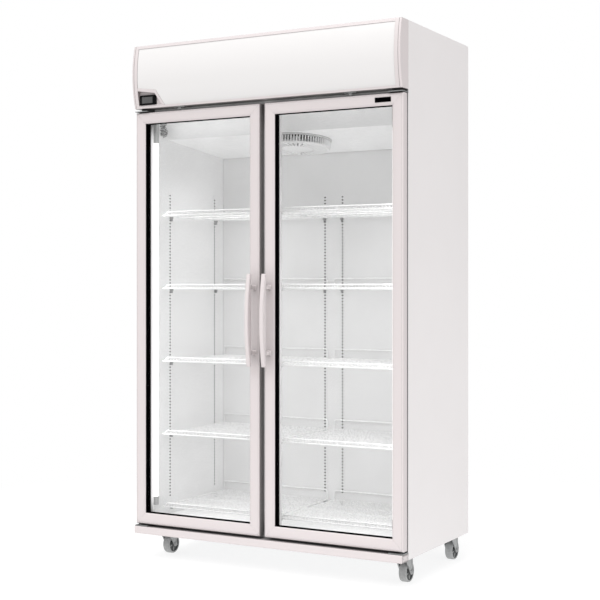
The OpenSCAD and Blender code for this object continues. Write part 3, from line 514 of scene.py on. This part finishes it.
def finish_cad_nodes(m):
    """Materials and edges of the nodes that keep their CAD shape."""
    plan = {
        "side_panels": ("side", 0.0), "back_panel": ("side", 0.0), "base_pan": ("zinc", 0.3),
        "top_cover": ("side", 0.0), "machine_deck": ("zinc", 0.0), "foam_insulation": ("foam", 0.0),
        "inner_liner": ("liner", 0.0), "front_frame": ("insert", 0.8),
        "centre_mullion": ("insert", 1.5), "sill_rail": ("front", 0.0),
        "shelf_clips": ("clip", 0.4), "duct_cover": ("liner", 0.3),
        "evaporator_coil": ("fins", 0.0),
        "fan_guard": ("guard", 0.5), "fan_motors": ("black_paint", 0.8),
        "interior_lamps": ("lamp", 0.6), "lamp_holders": ("grey", 0.6),
        "compressor": ("black_paint", 0.8), "condenser_coil": ("fins", 0.0),
        "condenser_shroud": ("zinc", 0.3), "refrigerant_pipes": ("copper", 0.0),
        "electrical_box": ("grey", 0.6), "power_cord": ("dark", 0.5),
        "canopy_frame": ("canopy", 0.4), "canopy_end_caps": ("canopy", 0.8),
        "sign_panel": ("sign", 0.4), "canopy_lamp": ("lamp", 0.5),
        "controller_bezel": ("bezel", 0.8), "controller_display": ("dark", 0.5),
        "hinge_plates": ("hinge", 0.5), "door_switches": ("switch", 0.6),
        "cabinet_screws": ("screw", 0.15), "caster_plates": ("caster_steel", 0.5),
        "door_badge": ("seal", 0.3), "evaporator_fan": ("grey", 0.5),
        "condenser_fan": ("grey", 0.5), "key_set": ("dark", 0.6), "key_up": ("dark", 0.6),
        "key_down": ("dark", 0.6),
    }
    for side in ("left", "right"):
        plan[f"door_{side}_frame"] = ("front", 0.7)
        plan[f"door_{side}_glass"] = ("glass", 0.0)
        plan[f"door_{side}_spacer"] = ("seal", 0.0)
        plan[f"door_{side}_gasket"] = ("rubber", 1.2)
    for node, (material, bevel) in plan.items():
        dress(node, m[material], bevel)


def add_shelf_rim(mesh, low, high, z, wire_r):
    """The closed rim of a shelf, the stop that rises from its back, and its cross wires."""
    rim_corner, stop_corner, stop_rise = 8 * MM, 12 * MM, 39 * MM
    cross_wires, cross_r = 3, 2.5 * MM
    rim = [Vector((low.x, low.y, z)), Vector((high.x, low.y, z)),
           Vector((high.x, high.y, z)), Vector((low.x, high.y, z))]
    add_wire(mesh, rounded_path(rim, rim_corner, closed=True), wire_r, closed=True)
    top = z + stop_rise
    stop = [Vector((low.x, high.y, z)), Vector((low.x, high.y, top)),
            Vector((high.x, high.y, top)), Vector((high.x, high.y, z))]
    add_wire(mesh, rounded_path(stop, stop_corner), wire_r)
    for k in range(1, cross_wires + 1):
        y = low.y + (high.y - low.y) * k / (cross_wires + 1)
        add_wire(mesh, [Vector((low.x, y, z - wire_r)), Vector((high.x, y, z - wire_r))], cross_r)


def add_shelf_lip(mesh, low, high, z, rise, wire_r):
    """The raised lip along the front, with a short support in the middle.
    Returns where its straight run starts and ends."""
    inset, slope, corner = 24 * MM, 12 * MM, 7 * MM
    start, end, y = low.x + inset, high.x - inset, low.y
    lip = [Vector((start - slope, y, z)), Vector((start, y, z + rise)),
           Vector((end, y, z + rise)), Vector((end + slope, y, z))]
    add_wire(mesh, rounded_path(lip, corner), wire_r)
    middle = (low.x + high.x) / 2
    add_wire(mesh, [Vector((middle, y, z)), Vector((middle, y, z + rise))], wire_r)
    return start, end


def add_deck_wires(mesh, low, high, z, rise, rim_r, lip_run):
    """The thin wires that goods stand on. Those below the lip are bent up to meet it."""
    wire_r, spacing, bend, sides = 1.5 * MM, 13.5 * MM, 3 * MM, 6
    top = z + rim_r + 0.4 * wire_r
    count = int((high.x - low.x) / spacing)
    margin = ((high.x - low.x) - (count - 1) * spacing) / 2
    for i in range(count):
        x = low.x + margin + i * spacing
        path = [Vector((x, high.y, top)), Vector((x, low.y + wire_r, top))]
        if lip_run[0] <= x <= lip_run[1]:
            path.append(Vector((x, low.y + wire_r, z + rise)))
            path = rounded_path(path, bend, 3)
        add_wire(mesh, path, wire_r, sides)


def shelf_wires(side, m):
    """The wire shelves behind one door."""
    node = f"shelves_{side}"
    low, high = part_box(node)
    levels, pitch, rim_r, lip_rise = 5, 287.5 * MM, 3 * MM, 14 * MM
    inset = Vector((rim_r, rim_r, 0))
    mesh = bmesh.new()
    for level in range(levels):
        z = low.z + 2 * MM + level * pitch
        add_shelf_rim(mesh, low + inset, high - inset, z, rim_r)
        run = add_shelf_lip(mesh, low + inset, high - inset, z, lip_rise, rim_r)
        add_deck_wires(mesh, low + inset, high - inset, z, lip_rise, rim_r, run)
    piece = build(f"shelf_wires_{side}", mesh, "cabinet", m["wire"])
    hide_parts(node)
    return smooth(piece, 50.0)


def rounded_section(width, depth, front_r, back_r, steps=6):
    """Outline of a bar seen along its length: (across, back) points, with rounded corners."""
    half = width / 2
    corners = [(half - front_r, front_r, front_r, -90), (half - back_r, depth - back_r, back_r, 0),
               (back_r - half, depth - back_r, back_r, 90), (front_r - half, front_r, front_r, 180)]
    points = []
    for x, y, r, start in corners:
        for k in range(steps + 1):
            a = math.radians(start + 90 * k / steps)
            points.append((x + r * math.cos(a), y + r * math.sin(a)))
    return points


def loft(mesh, rings):
    """Skins closed rings of points in order and caps both ends."""
    rows = [[mesh.verts.new(point) for point in ring] for ring in rings]
    for low, high in zip(rows, rows[1:]):
        for k in range(len(low)):
            j = (k + 1) % len(low)
            mesh.faces.new((low[k], low[j], high[j], high[k]))
    mesh.faces.new(rows[0][::-1])
    mesh.faces.new(rows[-1])


def add_grip(mesh, low, high, stand_off):
    """The bowed bar of a handle: flat at the back, curved outward at the front."""
    end_t, front_r, back_r, soft = 13 * MM, 4.5 * MM, 6.5 * MM, 1.2 * MM
    spans, end_steps = 36, 6
    width, half = high.x - low.x, (high.z - low.z) / 2
    x, z, back = (high.x + low.x) / 2, (high.z + low.z) / 2, high.y - stand_off
    bow = back - end_t - low.y
    turns = [math.pi / 2 * k / end_steps for k in range(end_steps + 1)]
    tip = [(half - soft * (1 - math.cos(a)), soft * (1 - math.sin(a))) for a in turns]
    run = [half * (1 - 2 * k / spans) for k in range(2, spans - 1)]
    rows = tip + [(h, 0.0) for h in run if abs(h) < half - soft]
    rows += [(-h, inset) for h, inset in reversed(tip)]
    rings = []
    for h, inset in rows:
        depth = end_t + bow * (1 - (h / half) ** 2)
        section = rounded_section(width - 2 * inset, depth - 2 * inset, front_r - inset,
                                  back_r - inset)
        rings.append([Vector((x + a, back - depth + inset + b, z + h)) for a, b in section])
    loft(mesh, rings)


def add_post(mesh, foot, reach):
    """A handle post: a stepped foot on the door, a straight stem and a flare into the grip."""
    stem_w, stem_h, corner = 12 * MM, 14 * MM, 3 * MM
    foot_rise, flare = 9 * MM, 10 * MM
    steps = [(0.0, 5 * MM, 6 * MM), (1.5 * MM, 3 * MM, 4 * MM), (4 * MM, 1 * MM, 1.5 * MM),
             (foot_rise, 0.0, 0.0), (reach - flare, 0.0, 0.0), (reach - 4 * MM, 1 * MM, 3 * MM),
             (reach, 2 * MM, 6 * MM)]
    rings = []
    for out, wider, taller in steps:
        tall = stem_h + taller
        section = rounded_section(stem_w + wider, tall, corner, corner, 4)
        rings.append([foot + Vector((a, -out, b - tall / 2)) for a, b in section])
    loft(mesh, rings)


def door_handle(side, m):
    """A bowed grip with soft corners, on two flared posts."""
    node = f"door_{side}_handle"
    low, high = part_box(node)
    stand_off, post_from_middle = 33 * MM, 121 * MM
    mesh = bmesh.new()
    add_grip(mesh, low, high, stand_off)
    for sign in (-1, 1):
        foot = Vector(((low.x + high.x) / 2, high.y, (low.z + high.z) / 2 + sign * post_from_middle))
        add_post(mesh, foot, stand_off + 1 * MM)
    piece = build(f"handle_{side}", mesh, f"door_{side}", m["handle"])
    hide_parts(node)
    return smooth(piece, 42.0)


def lathe(mesh, profile, centre, sides, material=0):
    """Turns an open (radius, along X) profile about an X axis through centre."""
    rows = []
    for radius, along in profile:
        row = []
        for k in range(sides):
            a = 2 * math.pi * k / sides
            offset = Vector((along, radius * math.cos(a), radius * math.sin(a)))
            row.append(mesh.verts.new(centre + offset))
        rows.append(row)
    for low, high in zip(rows, rows[1:]):
        for k in range(sides):
            j = (k + 1) % sides
            face = mesh.faces.new((low[k], low[j], high[j], high[k]))
            face.material_index = material


def add_wheel_ribs(mesh, centre, r, half, sign):
    """Raised spokes on one face of a wheel, tallest near the hub."""
    spokes, half_width, base = 5, 2.2 * MM, 0.55
    near, far = (0.36, 0.84), (0.76, 0.78)
    for k in range(spokes):
        a = 2 * math.pi * k / spokes - math.pi / 2
        out = Vector((0, math.cos(a), math.sin(a)))
        across = Vector((0, -math.sin(a), math.cos(a)))
        rings = []
        for along, crest in (near, far):
            profile = ((base, -1), (crest, -0.6), (crest, 0.6), (base, 1))
            rings.append([centre + out * (r * along) + across * (share * half_width)
                          + Vector((sign * half * rise, 0, 0)) for rise, share in profile])
        loft(mesh, rings)


def caster_wheel(row, side, m):
    """A pale tread on a darker ribbed disc. Profiles are (share of radius, share of half width)."""
    node = f"wheel_{row}_{side}"
    low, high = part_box(node)
    centre = (low + high) / 2
    r, half = (high.z - low.z) / 2, (high.x - low.x) / 2
    bore, sides = 4.05 * MM, 64
    tread_edge = [(1.0, 0.62), (0.985, 0.8), (0.95, 0.92), (0.9, 0.97), (0.84, 0.97), (0.815, 0.9)]
    web = [(0.815, 0.9), (0.80, 0.9), (0.78, 0.88), (0.74, 0.62), (0.42, 0.58)]
    hub = [(0.36, 0.9), (0.33, 0.99), (0.2, 1.0)]
    mesh = bmesh.new()
    tread = [(r * a, half * b) for a, b in tread_edge]
    lathe(mesh, [(a, -b) for a, b in reversed(tread)] + tread, centre, sides)
    for sign in (-1, 1):
        disc = [(r * a, sign * half * b) for a, b in web + hub]
        lathe(mesh, disc + [(bore, sign * half), (bore, 0)], centre, sides, 1)
        add_wheel_ribs(mesh, centre, r, half, sign)
    bmesh.ops.remove_doubles(mesh, verts=mesh.verts, dist=0.002 * MM)
    piece = build(f"caster_{row}_{side}", mesh, node, m["tread"])
    piece.data.materials.append(m["disc"])
    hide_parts(node)
    return smooth(piece, 30.0)


def leg_outline(swivel, axle, top, inset):
    """Outline of a fork leg seen from the side: wide at the crown, round at the axle."""
    wide, r = 29 * MM - inset, 10 * MM - inset
    first, sweep, steps = 15, 190, 10
    points = [(swivel - wide, top - inset), (swivel + wide, top - inset)]
    for k in range(steps + 1):
        a = math.radians(first - sweep * k / steps)
        points.append((axle.y + r * math.cos(a), axle.z + r * math.sin(a)))
    return points


def add_fork_leg(mesh, swivel, axle, top, x, sign):
    """A pressed leg with a rounded outer rim and a shallow dish inside it. x is its inner face,
    and its section is (outward, inset) in millimetres."""
    section = ((0, 0), (4.2, 0), (4.8, 0.6), (4.8, 2.6), (4.2, 3.2), (2.6, 3.8))
    rings = []
    for out, inset in section:
        edge = leg_outline(swivel, axle, top, inset * MM)
        rings.append([Vector((x + sign * out * MM, y, z)) for y, z in edge])
    loft(mesh, rings)


def add_fork_crown(mesh, middle, half, deep):
    """The flat top of the fork, with softened edges. middle is the centre of its upper face."""
    corner, soft, roll, sheet = 12 * MM, 1 * MM, 0.8 * MM, 5 * MM
    rings = []
    for drop, inset in ((0, soft), (roll, 0), (sheet - roll, 0), (sheet, soft)):
        edge = rounded_section(2 * (half - inset), 2 * (deep - inset), corner, corner)
        rings.append([middle + Vector((a, inset - deep + b, -drop)) for a, b in edge])
    loft(mesh, rings)


def caster_fork(row, side, m):
    """A pressed fork: a crown plate, two legs, and the axle with a nut on each end. The nut's
    section is (radius, outward) in millimetres."""
    node = f"fork_{row}_{side}"
    low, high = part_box(node)
    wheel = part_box(f"wheel_{row}_{side}")
    axle = (wheel[0] + wheel[1]) / 2
    kingpin_in, side_gap, axle_r, sides = 24 * MM, 2 * MM, 3.9 * MM, 24
    leg_sheet, crown_deep = 4.6 * MM, 29 * MM
    swivel, x = low.y + kingpin_in, (low.x + high.x) / 2
    inner = (wheel[1].x - wheel[0].x) / 2 + side_gap
    nut = [(0.5, 2.6), (7.5, 2.6), (7.5, 5.2), (6.6, 6.0), (4.2, 6.0), (3.8, 7.4), (0.5, 7.6)]
    mesh = bmesh.new()
    for sign in (-1, 1):
        add_fork_leg(mesh, swivel, axle, high.z, x + sign * inner, sign)
        lathe(mesh, [(r * MM, sign * (inner + out * MM)) for r, out in nut], axle, sides)
    add_fork_crown(mesh, Vector((x, swivel, high.z)), inner + leg_sheet, crown_deep)
    lathe(mesh, [(axle_r, -inner), (axle_r, inner)], axle, sides)
    piece = build(f"caster_fork_{row}_{side}", mesh, node, m["caster_steel"])
    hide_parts(node)
    return smooth(piece, 35.0)


def sign_bead(m):
    """A thin dark wire along the edges of the sign, where the seam with the canopy shows as a line of
    shade: painted shade.
    """
    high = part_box("sign_panel")[1]
    front = {}
    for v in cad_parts["sign_panel"].data.vertices:
        if v.co.x > high.x - 1 * MM:
            z = round(v.co.z, 4)
            front[z] = min(front.get(z, v.co.y), v.co.y)
    edge = [Vector((high.x + 0.5 * MM, y, z)) for z, y in sorted(front.items())]
    top, r = edge[-1], 0.9 * MM
    path = edge[:-1] + [Vector((top.x, top.y - 0.3 * MM, top.z + 0.5 * MM))]
    left = [Vector((-v.x, v.y, v.z)) for v in reversed(path)]
    bezel_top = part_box("controller_bezel")[1].z
    left = [v for v in left if v.z > bezel_top]
    mesh = bmesh.new()
    add_wire(mesh, path + left, r, 6)
    return smooth(build("sign_bead", mesh, "cabinet", m["bead"]), 60.0)


def punched_sheet(mesh, corner, across, back, levels, columns, depth, punched):
    """Sheet on a grid of columns and levels. In a punched one every other middle cell is open."""
    front, rear = [[[mesh.verts.new(corner + across * c + back * drop + Vector((0, 0, z)))
                     for c in columns] for z in levels] for drop in (0.0, depth)]
    solid = {(r, c) for r in range(len(levels) - 1) for c in range(len(columns) - 1)
             if not (punched and r % 2 == 1 and c == 1)}
    for r, c in solid:
        mesh.faces.new((front[r][c], front[r][c + 1], front[r + 1][c + 1], front[r + 1][c]))
        mesh.faces.new((rear[r][c], rear[r + 1][c], rear[r + 1][c + 1], rear[r][c + 1]))
        edges = (((r, c - 1), (r, c), (r + 1, c)), ((r, c + 1), (r + 1, c + 1), (r, c + 1)),
                 ((r - 1, c), (r, c + 1), (r, c)), ((r + 1, c), (r + 1, c), (r + 1, c + 1)))
        for beside, a, b in edges:
            if beside not in solid:
                mesh.faces.new((front[a[0]][a[1]], front[b[0]][b[1]], rear[b[0]][b[1]],
                                rear[a[0]][a[1]]))


def pilaster_places(low, high):
    """Where each pilaster stands: its wall, its width direction, and the way into the wall."""
    half, row_gap, back_xs = 10 * MM, 327 * MM, (-29 * MM, 51 * MM)
    back_hole, side_hole = 8 * MM, 10 * MM
    along_x, along_y = Vector((1, 0, 0)), Vector((0, 1, 0))
    places = [(Vector((x, high.y, 0)), along_x, along_y, back_hole) for x in back_xs]
    for sign in (-1, 1):
        for y in (low.y + half, low.y + half + row_gap):
            places.append((Vector((sign * high.x, y, 0)), along_y, sign * along_x, side_hole))
    return places


def pilaster_strips(m):
    """Six punched strips of thin sheet, each with a near-black sheet behind its row of holes as painted
    shade in the hollow there.
    """
    low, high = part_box("shelf_pilasters")
    pitch, hole_h, half = 12.5 * MM, 4.8 * MM, 10 * MM
    sheet, sheet_out, shade_thick, shade_out = 0.8 * MM, 1.5 * MM, 0.3 * MM, 0.4 * MM
    foot, head = 20 * MM, 6 * MM
    levels = [low.z]
    for k in range(int((high.z - low.z - foot - head) / pitch)):
        hole = low.z + foot + k * pitch
        levels += [hole, hole + hole_h]
    levels.append(high.z)
    strips, shade_sheets = bmesh.new(), bmesh.new()
    for wall, across, back, hole_w in pilaster_places(low, high):
        hole = (-hole_w / 2, hole_w / 2)
        punched_sheet(strips, wall - back * sheet_out, across, back, levels,
                      (-half, *hole, half), sheet, True)
        # Painted shade: a near-black sheet just behind each row of holes, where the pilaster's hollow
        # would lie in shade.
        punched_sheet(shade_sheets, wall - back * shade_out, across, back, (levels[1], levels[-2]),
                      hole, shade_thick, False)
    piece = build("pilaster_strips", strips, "cabinet", m["liner"])
    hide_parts("shelf_pilasters")
    return build("pilaster_shade_sheets", shade_sheets, "cabinet", m["hole"])


def cable_path(wall, y0, y1, top, turn, sign):
    """A cable that coils loosely down beside the duct, from its holder to the lamp. Its place
    between y0 and y1 is a share, with a slow swing and a small wobble. turn is 0 or 1."""
    depth, coils, steps, loop = 56 * MM, 3.5, 96, 5 * MM
    rest, swing, wobble = 0.58, 0.24, 0.1
    path = []
    for k in range(steps + 1):
        t = k / steps
        a = 2 * math.pi * (coils * t + 0.5 * turn)
        y = y0 + (y1 - y0) * (rest + swing * math.sin(a) + wobble * math.sin(2.3 * a))
        z = top - depth * (0.08 + 0.86 * t) + loop * math.cos(a)
        x = wall - (4 + 2.5 * turn + 1.8 * math.cos(a * 1.3)) * MM
        path.append(Vector((sign * x, y, z)))
    return path


def lamp_cables(m):
    """Looped cables between each lamp holder and the duct cover."""
    lamps, duct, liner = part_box("lamp_holders"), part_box("duct_cover"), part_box("inner_liner")
    wall = liner[1].x - 1 * MM
    mesh = bmesh.new()
    for sign in (-1, 1):
        for turn, radius in enumerate((1.1 * MM, 0.9 * MM)):
            path = cable_path(wall, lamps[1].y, duct[0].y, duct[1].z, turn, sign)
            add_wire(mesh, path, radius, 8)
    piece = build("lamp_cables", mesh, "cabinet", m["cable"])
    return smooth(piece, 60.0)


def lcd_window(m):
    """The display's window: a thin pane with soft edges, set in its recess."""
    low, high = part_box("controller_display")
    left, right, rim, sunk, pane = 9.6 * MM, 14.1 * MM, 6.6 * MM, 0.15 * MM, 0.75 * MM
    start = Vector((low.x + left, low.y + sunk, low.z + rim))
    end = Vector((high.x - right, low.y + sunk + pane, high.z - rim))
    mesh = bmesh.new()
    bmesh.ops.create_cube(mesh, size=1.0)
    for v in mesh.verts:
        v.co = Vector([end[k] if v.co[k] > 0 else start[k] for k in range(3)])
    bmesh.ops.bevel(mesh, geom=mesh.edges[:], offset=0.3 * MM, segments=2, affect="EDGES")
    return smooth(build("display_window", mesh, "cabinet", m["lcd"]))


# ---------------------------------------------------------------- stage, light and camera

def studio_floor():
    """A pale floor that fades into the white surroundings."""
    radius, fade_start, fade_end = 60.0, 0.7, 2.4
    mesh = bmesh.new()
    bmesh.ops.create_circle(mesh, cap_ends=True, segments=96, radius=radius)
    data = bpy.data.meshes.new("studio_floor")
    mesh.to_mesh(data)
    mesh.free()
    floor = bpy.data.objects.new("studio_floor", data)
    bpy.context.scene.collection.objects.link(floor)
    s = Shader("pale_floor", roughness=0.7)
    s.colour((0.25, 0.25, 0.25, 1)).glow((1, 1, 1, 1), 0.78)
    length = s.nodes.new("ShaderNodeVectorMath")
    length.operation = "LENGTH"
    s.join(s.space, length.inputs[0])
    far = s.span(length.outputs["Value"], fade_start, fade_end)
    white = s.nodes.new("ShaderNodeEmission")
    white.inputs[0].default_value = (1, 1, 1, 1)
    blend = s.nodes.new("ShaderNodeMixShader")
    s.join(far, blend.inputs[0])
    s.join(s.bsdf.outputs[0], blend.inputs[1])
    s.join(white.outputs[0], blend.inputs[2])
    s.join(blend.outputs[0], s.output.inputs[0])
    data.materials.append(s.material)


def studio_world(strength):
    """White to the camera, and an even soft light for everything else."""
    world = bpy.data.worlds.new("studio_world")
    world.use_nodes = True
    nodes, links = world.node_tree.nodes, world.node_tree.links
    nodes.clear()
    path = nodes.new("ShaderNodeLightPath")
    seen, light = nodes.new("ShaderNodeBackground"), nodes.new("ShaderNodeBackground")
    seen.inputs[0].default_value = (1, 1, 1, 1)
    light.inputs[0].default_value = (1, 1, 1, 1)
    light.inputs[1].default_value = strength
    blend = nodes.new("ShaderNodeMixShader")
    links.new(path.outputs["Is Camera Ray"], blend.inputs[0])
    links.new(light.outputs[0], blend.inputs[1])
    links.new(seen.outputs[0], blend.inputs[2])
    links.new(blend.outputs[0], nodes.new("ShaderNodeOutputWorld").inputs[0])
    bpy.context.scene.world = world


def area_light(name, place, target, size, power, size_y=None):
    """A flat lamp aimed at a point, and not seen by the camera."""
    data = bpy.data.lights.new(name, "AREA")
    data.energy = power
    data.size = size
    if size_y:
        data.shape = "RECTANGLE"
        data.size_y = size_y
    lamp = bpy.data.objects.new(name, data)
    bpy.context.scene.collection.objects.link(lamp)
    lamp.location = place
    lamp.rotation_euler = (Vector(target) - Vector(place)).to_track_quat("-Z", "Y").to_euler()
    lamp.visible_camera = False
    return lamp


def key_light():
    """A very soft sun, high in front of the cabinet."""
    data = bpy.data.lights.new("key_light", "SUN")
    data.energy = 2.9
    data.angle = math.radians(60)
    key = bpy.data.objects.new("key_light", data)
    key.rotation_euler = (math.radians(32), 0, 0)
    bpy.context.scene.collection.objects.link(key)


def bay_lights(side):
    """Light inside one bay: behind the door, under the roof, and at the lamp on its jamb."""
    low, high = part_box("interior_lamps")
    bay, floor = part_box(f"shelves_{side}"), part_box("base_pan")[1].z
    sign = 1 if side == "right" else -1
    x, tall = (bay[0].x + bay[1].x) / 2, high.z - low.z
    front_power, roof_power, strip_power = 0.3, 0.75, 0.68
    front_tall, strip_tall, wide, deep = 0.66 * tall, 0.85 * tall, 0.44, 0.34
    mid = low.z + front_tall / 2
    front = area_light(f"bay_light_{side}", (x, low.y + 2 * MM, mid), (x, 0.2, mid), wide,
                       front_power, front_tall)
    roof = area_light(f"roof_light_{side}", (x, 0.0, high.z - 20 * MM), (x, 0.0, floor),
                      wide - 20 * MM, roof_power, deep)
    roof.data.spread = math.radians(80)
    mid = low.z + strip_tall / 2
    jamb, inward = (sign * (high.x - 4 * MM), high.y + 3 * MM, mid), (-sign * 0.25, 0.25, mid)
    strip = area_light(f"strip_light_{side}", jamb, inward, 30 * MM, strip_power, strip_tall)
    strip.data.spread = math.radians(130)
    for lamp in (front, roof, strip):
        lamp.visible_glossy = False


def fascia_light():
    """A little light on the front of the air duct in the left bay."""
    low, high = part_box("duct_cover")
    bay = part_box("shelves_left")
    wide, tall, power = 0.45, 40 * MM, 0.022
    x, z = (bay[0].x + bay[1].x) / 2, high.z - 30 * MM
    place, target = (x, low.y - 80 * MM, z), (x, low.y, z)
    lamp = area_light("fascia_light", place, target, wide, power, tall)
    lamp.data.spread = math.radians(100)
    lamp.visible_glossy = False


def side_light():
    """A large soft panel that lights the cabinet's right side."""
    place, size, power = (4.2, -0.6, 1.2), 3.0, 33
    area_light("side_light", place, (CAD_LOW + CAD_HIGH) / 2, size, power)


def studio_lights():
    key_light()
    side_light()
    for side in ("left", "right"):
        bay_lights(side)
    fascia_light()


def studio_camera():
    """The photograph's viewpoint: level, from the front right, at half the cabinet's height."""
    azimuth, x, y, height = 29.02, 2.3904, -4.2995, 1.0674
    data = bpy.data.cameras.new("camera")
    data.sensor_width = 36.0
    data.lens = 75.84
    data.shift_y = -0.0238
    data.clip_end = 200.0
    camera = bpy.data.objects.new("camera", data)
    camera.location = (x, y, height)
    camera.rotation_euler = (math.radians(90), 0, math.radians(azimuth))
    bpy.context.scene.collection.objects.link(camera)
    bpy.context.scene.camera = camera


materials = make_materials()
finish_cad_nodes(materials)
for side in ("left", "right"):
    shelf_wires(side, materials)
    door_handle(side, materials)
    for row in ("front", "rear"):
        caster_wheel(row, side, materials)
        caster_fork(row, side, materials)
sign_bead(materials)
pilaster_strips(materials)
lamp_cables(materials)
lcd_window(materials)
studio_floor()
studio_world(0.45)
studio_lights()
studio_camera()
bpy.context.scene.view_settings.view_transform = "Standard"
